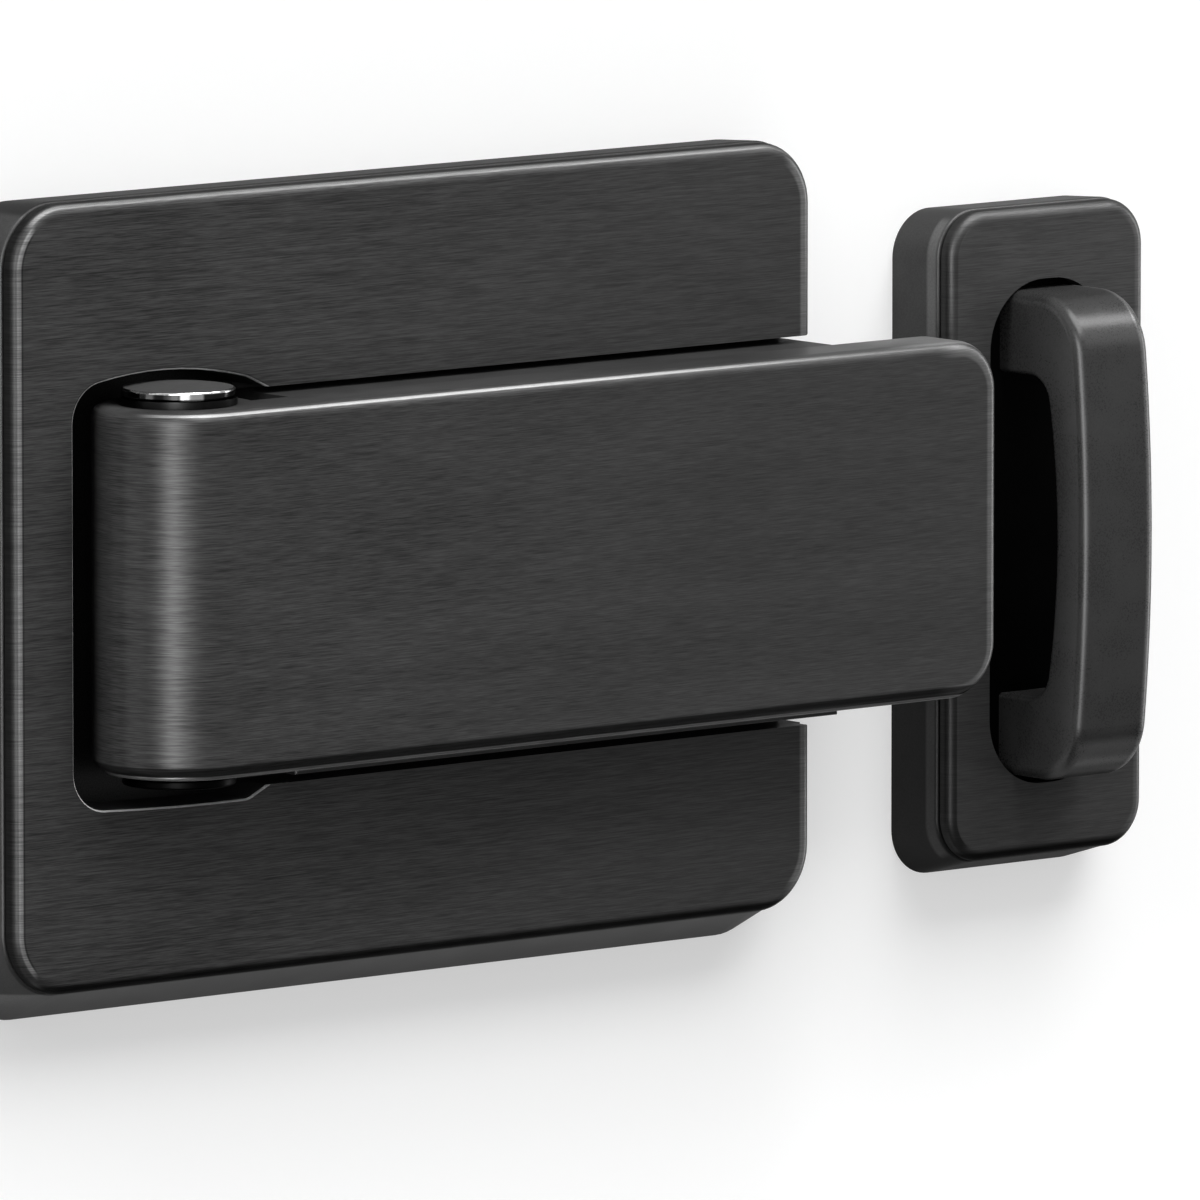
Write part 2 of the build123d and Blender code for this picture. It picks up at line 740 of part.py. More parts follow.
# Loop: a bowed strap on two deep feet, with the opening between them
with BuildPart() as keeper_loop:
    foot_y = -loop_floor
    corner_y = -(loop_reach - loop_bow)
    with BuildSketch(Plane.YZ.offset(keeper_x - loop_width / 2)):
        with BuildLine():
            Line((foot_y, loop_low), (foot_y, loop_high))
            Line((foot_y, loop_high), (corner_y, loop_high))
            ThreePointArc((corner_y, loop_high), (-loop_reach, keeper_z), (corner_y, loop_low))
            Line((corner_y, loop_low), (foot_y, loop_low))
        make_face()
        fillet(vertices().group_by(Axis.X)[0], loop_corner)
    extrude(amount=loop_width)
    outer_edges = edges().filter_by(
        lambda e: abs(abs(e.center().X - keeper_x) - loop_width / 2) < near
        and e.center().Y < foot_y - near
    )
    fillet(outer_edges, loop_edge)
    with BuildSketch(Plane.YZ.offset(keeper_x - loop_width / 2)):
        with BuildLine():
            Line((foot_y, opening_low), (foot_y, opening_high))
            Line((foot_y, opening_high), (corner_y + loop_front_wall, opening_high))
            ThreePointArc(
                (corner_y + loop_front_wall, opening_high),
                (-loop_reach + loop_front_wall, keeper_z),
                (corner_y + loop_front_wall, opening_low),
            )
            Line((corner_y + loop_front_wall, opening_low), (foot_y, opening_low))
        make_face()
        fillet(vertices().group_by(Axis.X)[0], loop_opening_corner)
    extrude(amount=loop_width, mode=Mode.SUBTRACT)
    inner_edges = edges().filter_by(
        lambda e: abs(abs(e.center().X - keeper_x) - loop_width / 2) < near
        and opening_low - near <= e.center().Z <= opening_high + near
        and -loop_reach + loop_front_wall - near <= e.center().Y < foot_y - near
    )
    fillet(inner_edges, loop_opening_edge)
    discs(
        keeper_x, keeper_z, 0, loop_screw_spacing, 1, 2, loop_screw_radius + seated_fit,
        loop_floor, loop_floor + loop_screw_grip + head_clearance, Mode.SUBTRACT,
    )
keeper_loop.part.label = "keeper_loop"

# Loop screws
with BuildPart() as loop_screws:
    screws(
        keeper_x, keeper_z, 0, loop_screw_spacing, 1,
        loop_head_seat - loop_screw_head, loop_screw_head,
        loop_screw_head_radius, loop_screw_radius, loop_floor + loop_screw_grip,
    )
loop_screws.part.label = "loop_screws"

# Keeper cover screws
with BuildPart() as keeper_cover_screws:
    screws(
        keeper_x, keeper_z, keeper_cover_screw_spacing_x, keeper_cover_screw_spacing_z, 2,
        mounting_plate_thickness + head_clearance, cover_screw_head,
        cover_screw_head_radius, cover_screw_radius, cover_screw_end,
    )
keeper_cover_screws.part.label = "keeper_cover_screws"

# Keeper grub screws
with BuildPart() as keeper_grub_screws:
    grub_screws(keeper_right, keeper_z, keeper_grub_spacing)
keeper_grub_screws.part.label = "keeper_grub_screws"

parts = [
    lock_mounting_plate, lock_base, lock_cover, lock_cover_screws, lock_grub_screws,
    arm_rest_pads, hinge_bush, upper_thrust_washer, lower_thrust_washer, friction_washer,
    arm, upper_head_washer, lower_head_washer, hinge_pin, pin_cap_screw,
    keeper_mounting_plate, keeper_base, keeper_cover, keeper_loop, loop_screws,
    keeper_cover_screws, keeper_grub_screws,
]
for piece in parts:
    export_step(piece.part, f"parts/{piece.part.label}.step")
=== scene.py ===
from math import cos, pi, radians, sin

import bpy
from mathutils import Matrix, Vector


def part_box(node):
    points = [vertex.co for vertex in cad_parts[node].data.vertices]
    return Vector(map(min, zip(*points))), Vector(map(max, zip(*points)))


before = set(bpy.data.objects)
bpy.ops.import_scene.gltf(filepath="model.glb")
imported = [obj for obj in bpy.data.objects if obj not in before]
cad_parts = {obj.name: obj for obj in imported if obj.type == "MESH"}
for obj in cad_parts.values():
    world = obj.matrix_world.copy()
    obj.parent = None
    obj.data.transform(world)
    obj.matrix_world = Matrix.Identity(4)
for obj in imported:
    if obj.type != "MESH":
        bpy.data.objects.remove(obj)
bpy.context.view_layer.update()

millimetre = 0.001
scene = bpy.context.scene


class Number:
    """A shader socket that holds a number. Sums, products and powers of it add Math nodes."""

    def __init__(self, shader, socket):
        self.shader = shader
        self.socket = socket

    def maths(self, operation, first, second):
        node = self.shader.node("ShaderNodeMath", {"operation": operation}, {0: first, 1: second})
        return node.number()

    def __add__(self, other):
        return self.maths("ADD", self, other)

    def __radd__(self, other):
        return self.maths("ADD", other, self)

    def __sub__(self, other):
        return self.maths("SUBTRACT", self, other)

    def __rsub__(self, other):
        return self.maths("SUBTRACT", other, self)

    def __mul__(self, other):
        return self.maths("MULTIPLY", self, other)

    def __rmul__(self, other):
        return self.maths("MULTIPLY", other, self)

    def __pow__(self, other):
        return self.maths("POWER", self, other)

    def size(self):
        return self.maths("ABSOLUTE", self, 0.0)

    def at_most(self, other):
        return self.maths("MINIMUM", self, other)

    def at_least(self, other):
        return self.maths("MAXIMUM", self, other)

    def ramp(self, start, end, low=0.0, high=1.0):
        """Turns smoothly from low at start to high at end."""
        node = self.shader.node(
            "ShaderNodeMapRange",
            {"interpolation_type": "SMOOTHSTEP"},
            {"Value": self, "From Min": start, "From Max": end, "To Min": low, "To Max": high},
        )
        return node.number("Result")

    def fall(self, start, end):
        """Turns smoothly from one at start to zero at end."""
        return self.ramp(start, end, 1.0, 0.0)

    def spread(self, low=0.0, high=1.0):
        """Turns noise, most of which lies between 0.3 and 0.7, into low to high."""
        return self.ramp(0.3, 0.7, low, high)

    def between(self, start, end, soft):
        """One from start to end, and fading out over a soft distance beyond both."""
        return self.ramp(start - soft, start) * self.fall(end, end + soft)


class Added:
    """A node that was added, and its outputs by name."""

    def __init__(self, shader, node):
        self.shader = shader
        self.node = node

    def out(self, name=0):
        return self.node.outputs[name]

    def number(self, name=0):
        return Number(self.shader, self.node.outputs[name])


class Shader:
    """The node tree of one material or of the world."""

    def __init__(self, tree):
        self.tree = tree
        self.tree.nodes.clear()

    def node(self, kind, settings=None, inputs=None):
        """Adds a node. Its settings come first, then the values or links of its sockets."""
        node = self.tree.nodes.new(kind)
        for name, value in (settings or {}).items():
            setattr(node, name, value)
        for name, value in (inputs or {}).items():
            self.feed(node.inputs[name], value)
        return Added(self, node)

    def feed(self, socket, value):
        """Links an output to a socket, or gives the socket a value."""
        if isinstance(value, Number):
            value = value.socket
        if isinstance(value, bpy.types.NodeSocket):
            self.tree.links.new(value, socket)
        else:
            socket.default_value = value

    def blend(self, factor, first, second):
        """A colour between two others."""
        node = self.node("ShaderNodeMix", {"data_type": "RGBA"})
        for name, value in (("Factor_Float", factor), ("A_Color", first), ("B_Color", second)):
            self.feed(next(s for s in node.node.inputs if s.identifier == name), value)
        return next(s for s in node.node.outputs if s.identifier == "Result_Color")

    def place(self):
        """A point's place in millimetres. It stays with a piece as the piece moves."""
        at = self.node("ShaderNodeTexCoord").out("Object")
        return self.node(
            "ShaderNodeVectorMath", {"operation": "SCALE"}, {0: at, "Scale": 1 / millimetre}
        ).out()

    def axes(self, at):
        """How far along the arm, how far out of the wall and how high a point lies."""
        parts = self.node("ShaderNodeSeparateXYZ", inputs={0: at})
        return parts.number("X"), parts.number("Y") * -1.0, parts.number("Z")

    def stretched(self, at, along, out, up):
        """Coordinates scaled by one factor each along the arm, out of the wall and up."""
        return self.node(
            "ShaderNodeVectorMath", {"operation": "MULTIPLY"}, {0: at, 1: (along, out, up)}
        ).out()

    def noise(self, at, scale, detail=3.0, roughness=0.6):
        """Noise, about 0.5 on average. Its scale is in lumps per unit of the coordinates."""
        return self.node(
            "ShaderNodeTexNoise",
            inputs={"Vector": at, "Scale": scale, "Detail": detail, "Roughness": roughness},
        ).number("Fac")

    def bump(self, height, strength, depth):
        return self.node(
            "ShaderNodeBump",
            inputs={"Height": height, "Strength": strength, "Distance": depth},
        ).out()


class Sides:
    """Where the sides of a piece lie, in millimetres along the axes of Shader.axes."""

    def __init__(self, name):
        low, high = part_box(name)
        self.left = low.x / millimetre
        self.right = high.x / millimetre
        self.back = -high.y / millimetre
        self.front = -low.y / millimetre
        self.bottom = low.z / millimetre
        self.top = high.z / millimetre
        self.middle_along = (self.left + self.right) / 2
        self.middle_out = (self.back + self.front) / 2
        self.middle_up = (self.bottom + self.top) / 2


def material(name):
    made = bpy.data.materials.new(name)
    made.use_nodes = True
    return made, Shader(made.node_tree)


def finish_surface(shader, inputs):
    surface = shader.node("ShaderNodeBsdfPrincipled", inputs=inputs)
    shader.node("ShaderNodeOutputMaterial", inputs={"Surface": surface.out()})


def grey(shade):
    return (shade, shade, shade, 1.0)


# Sizes that the part has too, in millimetres
plate_corner = 6.4
keeper_corner = 4.7
arm_corner = 5.2
crown_height = 0.45
recess_width = 15.6
recess_height = 51.5

lock = Sides("lock_cover")
keeper = Sides("keeper_cover")
arm = Sides("arm")
loop = Sides("keeper_loop")
hinge = Sides("hinge_bush")

# How deep the scratches and the grit are
scratch_depth = 0.006 * millimetre
fine_depth = 0.004 * millimetre
rubber_depth = 0.02 * millimetre

# The gunmetal coat: part metal and part matt, without any clear gloss over it
coat = {"Metallic": 0.6, "Specular IOR Level": 0.0, "Specular Tint": grey(0.50)}

# Layers of grain: scratches per millimetre along the arm and up, and each layer's share
grain_layers = (
    (0.22, 9.5, 0.52),
    (0.50, 17.0, 0.38),
    (0.06, 2.4, 0.10),
)
# How level a face is where the grain starts to run across it, and where it does so fully
level_start = 0.6
level_full = 0.95
# The grain shows more at the barrel than at the tip: between where, and by which factors
grain_near = -40.0
grain_far = 50.0
grain_strong = 1.5
grain_weak = 0.8


def brushed_grain(shader, at):
    """Fine scratches that run along the arm and round its barrel, about 0.5 on average."""
    along, out, up = shader.axes(at)
    faces = shader.node("ShaderNodeTexCoord").out("Normal")
    level = shader.node("ShaderNodeSeparateXYZ", inputs={0: faces}).number("Z").size()
    across = up + out * level.ramp(level_start, level_full)
    flat = shader.node(
        "ShaderNodeCombineXYZ", inputs={"X": along, "Y": out, "Z": across}
    ).out()
    total = 0.0
    for length, height, share in grain_layers:
        lines = shader.noise(shader.stretched(flat, length, length, height), 1.0)
        total = total + lines * share
    return total


def brushed_gunmetal(name, dark, light, painted_light):
    """Brushed along the arm. Its highlights spread across the grain, up and down."""
    made, shader = material(name)
    at = shader.place()
    grain = brushed_grain(shader, at)
    within = shader.node("ShaderNodeTexCoord").out("Generated")
    cloud = shader.noise(shader.stretched(within, 2.5, 0.3, 7.0), 1.0, roughness=0.55)
    tone = grain.ramp(0.36, 0.64) * 0.8 + cloud.spread() * 0.2
    along, out, up = shader.axes(at)
    contrast = along.ramp(grain_near, grain_far, grain_strong, grain_weak) * (light - dark)
    # The last factor paints highlights and shade into the coat's colour
    shade = ((dark + light) / 2 + (tone - 0.5) * contrast) * painted_light(along, out, up)
    finish_surface(shader, {
        **coat,
        "Base Color": shader.blend(shade, grey(0.0), grey(1.0)),
        "Roughness": grain.ramp(0.35, 0.65, 0.34, 0.42) + cloud.spread(-0.015, 0.015),
        "Anisotropic": 0.6,
        "Anisotropic Rotation": 0.25,
        "Normal": shader.bump(grain, 1.0, scratch_depth),
    })
    return made


def inside(along, up, piece, corner):
    """How far a point lies inside the rounded outline of a piece, seen from the front."""
    beside = (along - piece.middle_along).size() - ((piece.right - piece.left) / 2 - corner)
    above = (up - piece.middle_up).size() - ((piece.top - piece.bottom) / 2 - corner)
    round_corner = (beside.at_least(0.0) ** 2.0 + above.at_least(0.0) ** 2.0) ** 0.5
    return corner - round_corner - beside.at_least(above).at_most(0.0)


# Painted light: highlights and shade painted into the coat's colour. Each band lies at a distance
# in millimetres from a side of a piece. The factors at the end of each function say by how much
# of its own shade a band makes the coat lighter or darker.
def lock_cover_painted_light(along, out, up):
    """Painted highlights along its right, top and left edges and round the rim of the hinge
    pocket, brightest along its lower side. Painted shade on its side walls, along its bottom
    edge, and in a thin line and a shoulder by its left edge.
    """
    edge = inside(along, up, lock, plate_corner)
    side = edge.ramp(0.05, 0.2, 0.4, 1.0)
    right = edge.between(0.85, 1.35, 0.4) * along.ramp(lock.right - 4.0, lock.right - 2.0)
    top = edge.between(0.25, 0.45, 0.12) * up.ramp(lock.top - 2.8, lock.top - 0.8)
    at_left = along.fall(lock.left + 2.0, lock.left + 3.0)
    left = edge.between(0.7, 0.92, 0.2) * at_left
    shoulder = edge.between(0.0, 0.35, 0.3) * at_left
    line = edge.between(1.08, 1.2, 0.08) * at_left
    low = up.fall(lock.bottom + 0.7, lock.bottom + 1.4)
    rim = out.between(lock.front - 0.24, lock.front - 0.06, 0.04)
    rim = rim * along.between(hinge.middle_along - 13.7, hinge.middle_along + 15.3, 0.5)
    rim = rim * up.size().fall(24.0, 26.0)
    sill = up.fall(arm.bottom - 2.0, arm.bottom - 1.0)
    rim = rim * (1.0 + sill * 1.4)
    # Painted highlights on the edges and the pocket rim, painted shade on the sides, the bottom
    # edge and by the left edge
    bright = 1.0 + right * 1.6 + top * 1.2 + left * 2.4 + rim * 16.0
    return bright * side * (1.0 - low * 0.8) * (1.0 - line * 0.4) * (1.0 - shoulder * 0.35)


def keeper_cover_painted_light(along, out, up):
    """Painted highlight along its right edge; painted shade on its side walls, along its left and
    bottom edges, and darker towards the bottom.
    """
    edge = inside(along, up, keeper, keeper_corner)
    side = edge.ramp(0.05, 0.2, 0.5, 1.0)
    right = edge.between(0.8, 1.2, 0.4) * along.ramp(keeper.right - 3.6, keeper.right - 1.6)
    at_left = along.fall(keeper.left + 1.6, keeper.left + 3.1)
    left = edge.between(0.2, 0.9, 0.15) * at_left
    left = left * up.ramp(keeper.bottom + 6.3, keeper.top - 10.0, 0.6, 0.3)
    low = up.fall(keeper.bottom + 0.7, keeper.bottom + 1.4)
    fade = up.ramp(keeper.bottom + 1.3, keeper.top - 5.0, 0.80, 1.08)
    # Painted highlight on the right edge, painted shade on the sides, the left edge, the bottom
    # edge and lower down
    return (1.0 + right * 0.6) * side * fade * (1.0 - low * 0.8) * (1.0 - left)


def arm_painted_light(along, out, up):
    """Painted highlights along the top edge, the tip, the lip and the left side of the barrel;
    painted shade along the bottom edge.

    The top face is painted lighter towards the tip, a painted highlight.
    """
    top_edge = up.between(arm.top - 0.43, arm.top - 0.28, 0.10)
    top_edge = top_edge * along.ramp(arm.right - 61.5, arm.right - 8.5, 1.0, 0.12)
    top_edge = top_edge * along.ramp(arm.left + 0.5, arm.left + 2.5)
    bottom_edge = up.between(arm.bottom + 0.45, arm.bottom + 1.3, 0.15)
    lip = up.fall(arm.bottom + 0.3, arm.bottom + 0.4)
    edge = inside(along, up, arm, arm_corner)
    tip = edge.between(0.6, 1.3, 0.4) * along.ramp(arm.right - 8.5, arm.right - 4.5)
    crown = edge.fall(0.12, 0.3) * up.ramp(arm.top - 6.6, arm.top - 3.6)
    crown = crown * (
        along.ramp(arm.right - 32.5, arm.right - 20.5, 0.0, 0.5)
        + along.ramp(arm.right - 16.5, arm.right - 6.5, 0.0, 2.2)
    )
    heel = out.between(hinge.middle_out - 1.3, hinge.middle_out, 3.0)
    heel = heel * along.fall(arm.left + 1.8, arm.left + 2.8)
    # Painted highlights on the edges, the tip, the barrel and the top face; painted shade along
    # the bottom edge
    bright = 1.0 + top_edge * 3.4 + lip * 2.2 + tip * 1.3 + heel * 0.6 + crown
    return bright * (1.0 - bottom_edge * 0.6)


def satin_casting(name, dark, light, smooth, painted_light):
    made, shader = material(name)
    at = shader.place()
    grit = shader.noise(at, 5.5, 4.0, 0.62)
    cloud = shader.noise(at, 0.16, roughness=0.5)
    tone = grit.ramp(0.35, 0.65) * 0.55 + cloud.ramp(0.32, 0.68) * 0.45
    # The last factor paints highlights and shade into the coat's colour
    shade = (dark + tone * (light - dark)) * painted_light(*shader.axes(at))
    finish_surface(shader, {
        **coat,
        "Base Color": shader.blend(shade, grey(0.0), grey(1.0)),
        "Roughness": grit.spread(smooth, smooth + 0.08) + cloud.spread(-0.02, 0.02),
        "Normal": shader.bump(grit, 0.5, fine_depth),
    })
    return made


def lock_base_painted_light(along, out, up):
    """Painted reflection on the skirt below the cover, painted shade along the top."""
    skirt = up.ramp(lock.bottom - 2.7, lock.bottom - 0.1, 0.9, 1.2)
    skirt = skirt * up.fall(lock.bottom - 0.1, lock.bottom + 0.2)
    top = up.ramp(lock.top - 1.3, lock.top - 0.8)
    # Painted reflection on the skirt and painted shade along the top
    return (1.0 + skirt) * (1.0 - top * 0.45)


def keeper_base_painted_light(along, out, up):
    """Painted highlight along its front edge and painted shade blackening its recess. It is
    painted darker downwards.
    """
    beside = (along - keeper.middle_along).size()
    above = (up - keeper.middle_up).size()
    inner = beside.fall(recess_width / 2, recess_width / 2 + 0.1)
    inner = inner * above.fall(recess_height / 2, recess_height / 2 + 0.1)
    edge = out.between(keeper.front - 3.0, keeper.front - 2.3, 0.4)
    edge = edge * along.fall(keeper.left + 1.1, keeper.left + 2.1)
    fade = up.ramp(keeper.bottom + 11.3, keeper.top - 5.0, 0.40, 1.05)
    # Painted shade in the recess and lower down, painted highlight along the front edge
    return (1.0 - inner * 0.93) * fade * (1.0 + edge * 1.1)


def loop_painted_light(along, out, up):
    """Painted highlights along the right edge, at the lower bend and on the side."""
    right = along.between(loop.right - 1.1, loop.right - 0.5, 0.4)
    side = along.fall(loop.left + 0.05, loop.left + 0.15)
    bend = up.between(loop.bottom + 2.5, loop.bottom + 3.7, 1.2)
    bend = bend * out.ramp(loop.front - 7.8, loop.front - 5.8)
    bend = bend * along.ramp(loop.left + 0.2, loop.left + 0.9)
    # Painted highlights
    return 1.0 + right * 1.4 + side * 0.5 + bend * 1.6


def bearing_bronze(name):
    """Bronze turned in a lathe: rings round the hinge's upright axis."""
    made, shader = material(name)
    at = shader.place()
    away = shader.node(
        "ShaderNodeVectorMath",
        {"operation": "SUBTRACT"},
        {0: at, 1: (hinge.middle_along, -hinge.middle_out, hinge.middle_up)},
    ).out()
    parts = shader.node("ShaderNodeSeparateXYZ", inputs={0: away})
    across = parts.number("X") * parts.number("X") + parts.number("Y") * parts.number("Y")
    turned = shader.node(
        "ShaderNodeCombineXYZ", inputs={"X": across ** 0.5, "Z": parts.number("Z")}
    ).out()
    rings = shader.noise(turned, 2.5)
    smear = shader.noise(at, 0.9, roughness=0.55)
    finish_surface(shader, {
        "Base Color": shader.blend(
            rings.spread() * 0.6 + smear.spread() * 0.4,
            (0.44, 0.25, 0.10, 1.0),
            (0.60, 0.38, 0.17, 1.0),
        ),
        "Metallic": 1.0,
        "Roughness": smear.spread(0.25, 0.32),
        "Specular Tint": grey(0.85),
        "Normal": shader.bump(rings, 0.35, fine_depth),
    })
    return made


def pin_metal(name):
    """A dark turned pin: painted highlights round the edge of its head and on the side of its
    head, painted shade on its lower half, a duller crown, and darker washers.
    """
    made, shader = material(name)
    at = shader.place()
    smear = shader.noise(at, 0.9, roughness=0.55)
    lines = shader.noise(shader.stretched(at, 0.3, 0.3, 9.0), 1.0)
    along, out, up = shader.axes(at)
    washer_top = Sides("upper_head_washer").top
    rim_top = Sides("hinge_pin").top - crown_height
    edge = up.between(rim_top - 0.18, rim_top - 0.02, 0.05)
    crown = up.ramp(rim_top, rim_top + 0.05)
    washer = up.fall(washer_top - 0.05, washer_top)
    below = up.fall(-1.0, 1.0)
    beside = along - hinge.middle_along
    painted_highlight = beside.between(-3.1, -1.4, 0.35)
    painted_highlight = painted_highlight * out.ramp(hinge.middle_out + 2.2, hinge.middle_out + 3.2)
    painted_highlight = painted_highlight + beside.ramp(-5.2, -4.9, 0.2, 0.0)
    painted_highlight = painted_highlight * up.between(washer_top + 0.05, rim_top, 0.03)
    # The edge band and the patch on the head's side are painted highlights; the lower half gets
    # painted shade
    shade = 0.018 + smear.spread() * 0.008 + edge * 0.5 + crown * 0.05 + painted_highlight * 0.5
    shade = shade * (1.0 - washer * 0.35) * (1.0 - below * 0.8)
    finish_surface(shader, {
        "Base Color": shader.blend(shade, grey(0.0), grey(1.0)),
        "Metallic": 1.0 - crown * 0.6,
        "Roughness": lines.spread(0.10, 0.16) + crown * 0.25 + washer * 0.2,
        "Specular IOR Level": 0.0,
        "Specular Tint": grey(0.6),
        "Normal": shader.bump(lines, 0.35, fine_depth),
    })
    return made


def zinc_plate(name):
    made, shader = material(name)
    at = shader.place()
    spangle = shader.noise(at, 0.55, detail=4.0)
    rolled = shader.noise(shader.stretched(at, 0.2, 0.2, 4.0), 1.0)
    finish_surface(shader, {
        "Base Color": shader.blend(
            spangle.spread(), (0.46, 0.47, 0.48, 1.0), (0.62, 0.62, 0.61, 1.0)
        ),
        "Metallic": 1.0,
        "Roughness": spangle.spread(0.30, 0.42),
        "Normal": shader.bump(rolled, 0.5, scratch_depth),
    })
    return made


def black_oxide(name):
    made, shader = material(name)
    at = shader.place()
    grit = shader.noise(at, 6.0)
    finish_surface(shader, {
        "Base Color": shader.blend(grit.spread(), grey(0.018), grey(0.035)),
        "Metallic": 1.0,
        "Roughness": grit.spread(0.36, 0.5),
        "Normal": shader.bump(grit, 0.4, fine_depth),
    })
    return made


def rest_pad_rubber(name):
    made, shader = material(name)
    at = shader.place()
    grit = shader.noise(at, 7.0)
    finish_surface(shader, {
        "Base Color": shader.blend(grit.spread(), grey(0.012), grey(0.024)),
        "Roughness": grit.spread(0.58, 0.72),
        "Normal": shader.bump(grit, 0.5, rubber_depth),
    })
    return made


# Finishes by material slot, and the pieces that have one of their own. The numbers are the
# darkest and the lightest shade of the coat and, for the castings, how rough they are.
finishes = {
    "polished_pin": pin_metal("polished pin"),
    "zinc_plated_steel": zinc_plate("zinc plated steel"),
    "black_steel": black_oxide("black steel"),
    "bearing_bronze": bearing_bronze("bearing bronze"),
    "rest_pad": rest_pad_rubber("rest pad"),
}
# Each own finish ends with the function that paints highlights and shade into its coat
own_finishes = {
    "lock_cover": brushed_gunmetal("lock cover brushed", 0.038, 0.078, lock_cover_painted_light),
    "keeper_cover": brushed_gunmetal("keeper cover brushed", 0.045, 0.086, keeper_cover_painted_light),
    "arm": brushed_gunmetal("arm brushed", 0.038, 0.078, arm_painted_light),
    "lock_base": satin_casting("lock casting", 0.050, 0.068, 0.38, lock_base_painted_light),
    "keeper_base": satin_casting("keeper casting", 0.050, 0.068, 0.38, keeper_base_painted_light),
    "keeper_loop": satin_casting("loop casting", 0.046, 0.064, 0.26, loop_painted_light),
}

for name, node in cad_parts.items():
    for slot in node.material_slots:
        slot.material = own_finishes.get(name) or finishes[slot.material.name]


# Stage: a white wall behind the lock and a pale floor below it, both seen from their front only.
# They give off some light of their own where they are seen. More of it comes from low down and
# from the right: those heights and places are in millimetres, and the stage's sizes in metres.
paper_shade = 0.62
paper_lift = 0.39
low_lift = 0.10
low_from = -75.0
low_to = -38.0
right_lift = 0.05
right_from = 48.0
right_to = 62.0
stage_half = 1.5
stage_front = -3.0
floor_height = -0.35
wall_top = 1.6
wall_gap = 0.00005


def stage_paper():
    made, shader = material("stage paper")
    path = shader.node("ShaderNodeLightPath")
    seen = path.number("Is Camera Ray").at_least(path.number("Is Glossy Ray"))
    paper = shader.node("ShaderNodeBsdfDiffuse", inputs={"Color": grey(paper_shade)})
    along, out, up = shader.axes(shader.place())
    level = paper_lift + up.ramp(low_from, low_to, low_lift, 0.0)
    level = level + along.ramp(right_from, right_to) * right_lift
    lift = shader.node(
        "ShaderNodeEmission", inputs={"Color": grey(1.0), "Strength": seen * level}
    )
    both = shader.node("ShaderNodeAddShader", inputs={0: paper.out(), 1: lift.out()})
    clear = shader.node("ShaderNodeBsdfTransparent")
    behind = shader.node("ShaderNodeNewGeometry").number("Backfacing")
    sides = shader.node(
        "ShaderNodeMixShader", inputs={0: behind, 1: both.out(), 2: clear.out()}
    )
    shader.node("ShaderNodeOutputMaterial", inputs={"Surface": sides.out()})
    return made


def stage_plane(name, corners, paper):
    mesh = bpy.data.meshes.new(name)
    mesh.from_pydata(corners, [], [(0, 1, 2, 3)])
    mesh.materials.append(paper)
    plane = bpy.data.objects.new(name, mesh)
    scene.collection.objects.link(plane)
    plane.visible_diffuse = False
    plane.visible_shadow = False
    return plane


paper = stage_paper()
stage_plane("backdrop wall", [
    (-stage_half, wall_gap, floor_height),
    (stage_half, wall_gap, floor_height),
    (stage_half, wall_gap, wall_top),
    (-stage_half, wall_gap, wall_top),
], paper)
floor = stage_plane("floor", [
    (-stage_half, stage_front, floor_height),
    (stage_half, stage_front, floor_height),
    (stage_half, wall_gap, floor_height),
    (-stage_half, wall_gap, floor_height),
], paper)
floor.visible_glossy = False


# World: white to the camera. To the object it is soft light that fades towards the floor, and
# what comes from it straight to a matt surface is even. The heights run from -1 to 1.
world_below = 0.08
world_level = 0.50
world_above = 0.2
world_on_matt = 0.40
fade_from = -0.55
fade_to = -0.05
rise_from = 0.1
rise_to = 0.8


def studio_world():
    world = bpy.data.worlds.new("studio")
    world.use_nodes = True
    scene.world = world
    shader = Shader(world.node_tree)
    way = shader.node("ShaderNodeTexCoord").out("Generated")
    up = shader.node("ShaderNodeSeparateXYZ", inputs={0: way}).number("Z")
    light = up.ramp(fade_from, fade_to, world_below, world_level)
    light = light + up.ramp(rise_from, rise_to, 0.0, world_above)
    path = shader.node("ShaderNodeLightPath")
    camera = path.number("Is Camera Ray")
    matt = path.number("Is Diffuse Ray")
    strength = camera + (1 - camera) * (light - matt * (light - world_on_matt))
    sky = shader.node("ShaderNodeBackground", inputs={"Color": grey(1.0), "Strength": strength})
    shader.node("ShaderNodeOutputWorld", inputs={"Surface": sky.out()})


studio_world()


def towards(azimuth, elevation):
    """A direction, by its turn to the left of straight ahead and its height, in degrees."""
    turn = radians(azimuth)
    rise = radians(elevation)
    return Vector((-sin(turn) * cos(rise), -cos(turn) * cos(rise), sin(rise)))


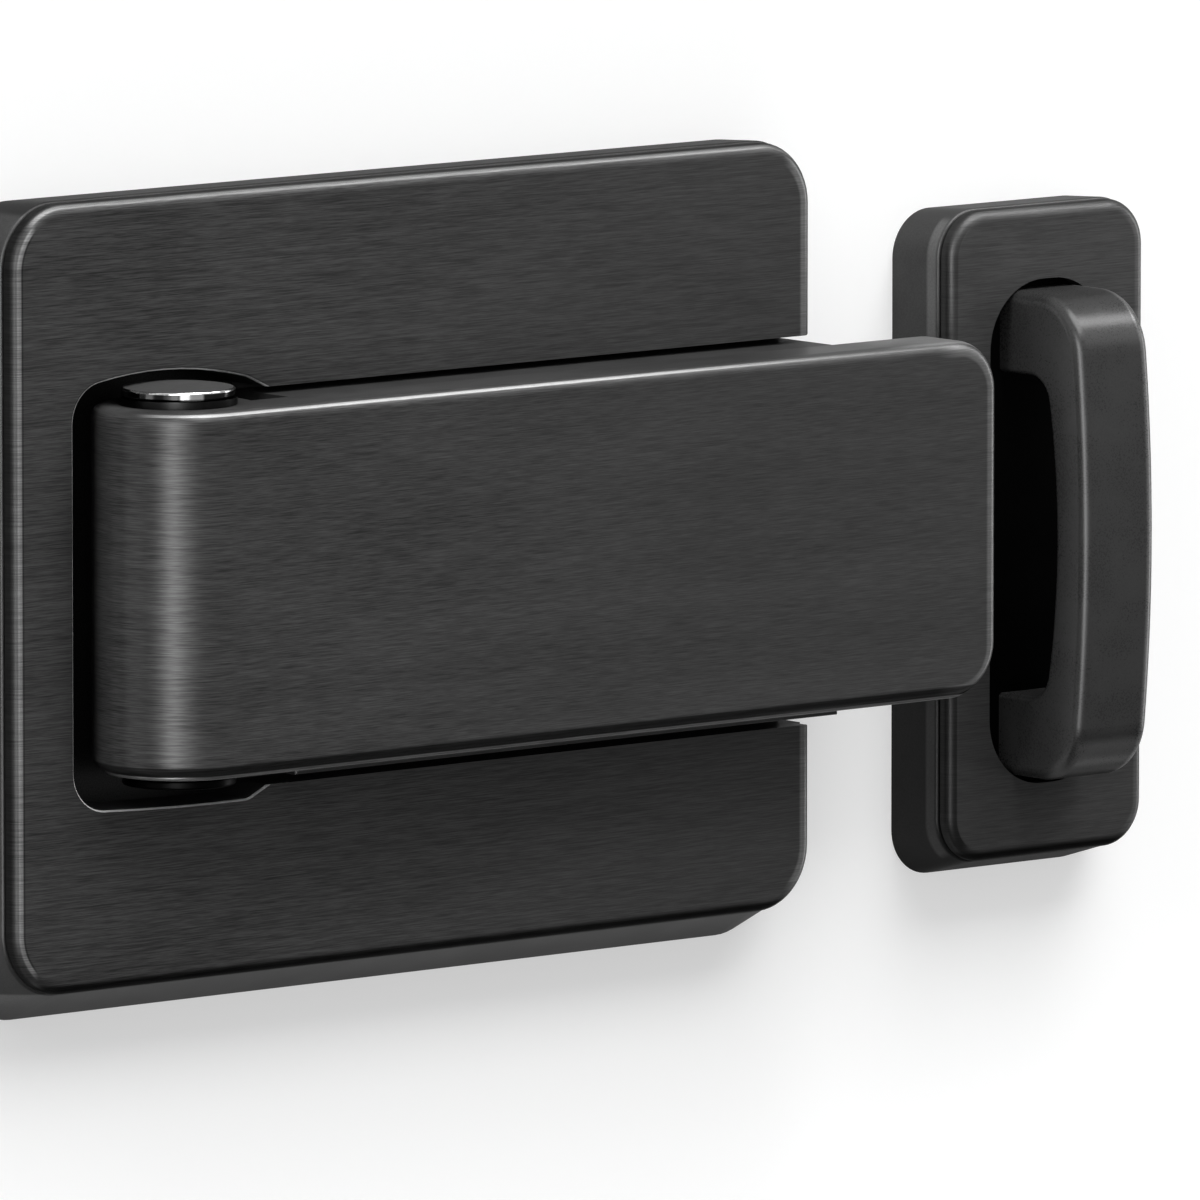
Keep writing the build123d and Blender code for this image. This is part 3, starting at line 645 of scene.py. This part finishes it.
def softbox(
    name, aim, azimuth, elevation, distance, width, height, brightness, glossy=True, matt=True
):
    """A rectangular lamp that faces its aim, as bright as its face looks in a mirror.

    It can be left out of what gloss shows, or out of what lights a matt surface.
    """
    lamp = bpy.data.lights.new(name, "AREA")
    lamp.shape = "RECTANGLE"
    lamp.size = width
    lamp.size_y = height
    lamp.energy = brightness * pi * width * height
    holder = bpy.data.objects.new(name, lamp)
    scene.collection.objects.link(holder)
    back = towards(azimuth, elevation)
    holder.location = aim + back * distance
    holder.rotation_euler = back.to_track_quat("Z", "Y").to_euler()
    holder.visible_glossy = glossy
    holder.visible_diffuse = matt


# Lamps: the turn to the left and the height in degrees, then the distance, width and height in
# metres, and the brightness. The cards show in gloss only.
lock_middle = Vector((0.01, -0.01, 0.0))
softbox("key above", lock_middle, -15, 62, 1.6, 1.3, 1.15, 7.3)
softbox("left fill", lock_middle, 84, 38, 1.2, 0.5, 0.9, 5.0, glossy=False)
softbox("front card", lock_middle, -45, 26, 1.2, 0.5, 0.4, 1.5, matt=False)
softbox("edge card", lock_middle, -64, 45, 1.0, 0.25, 0.25, 16.0, matt=False)
softbox("right card", lock_middle, -78, 0, 1.0, 0.25, 0.7, 5.0, matt=False)
softbox("barrel card", lock_middle, 48, 5, 1.00, 0.22, 0.9, 4.6, matt=False)
softbox("barrel card, wider", lock_middle, 46, 5, 1.02, 0.55, 0.9, 2.6, matt=False)
softbox("barrel card, widest", lock_middle, 43, 5, 1.04, 1.0, 0.9, 1.5, matt=False)

# Camera, fitted to the plate's edges in the photograph. Its lens and sensor are in millimetres.
camera_aim = Vector((0.02959, 0.0, -0.00669))
camera_azimuth = 40.0
camera_elevation = 7.215
camera_distance = 1.973
camera_lens = 591.9
camera_sensor = 36.0
camera_data = bpy.data.cameras.new("camera")
camera_data.sensor_width = camera_sensor
camera_data.lens = camera_lens
camera = bpy.data.objects.new("camera", camera_data)
scene.collection.objects.link(camera)
view_back = towards(camera_azimuth, camera_elevation)
camera.location = camera_aim + view_back * camera_distance
camera.rotation_euler = view_back.to_track_quat("Z", "Y").to_euler()
scene.camera = camera

scene.view_settings.view_transform = "Standard"
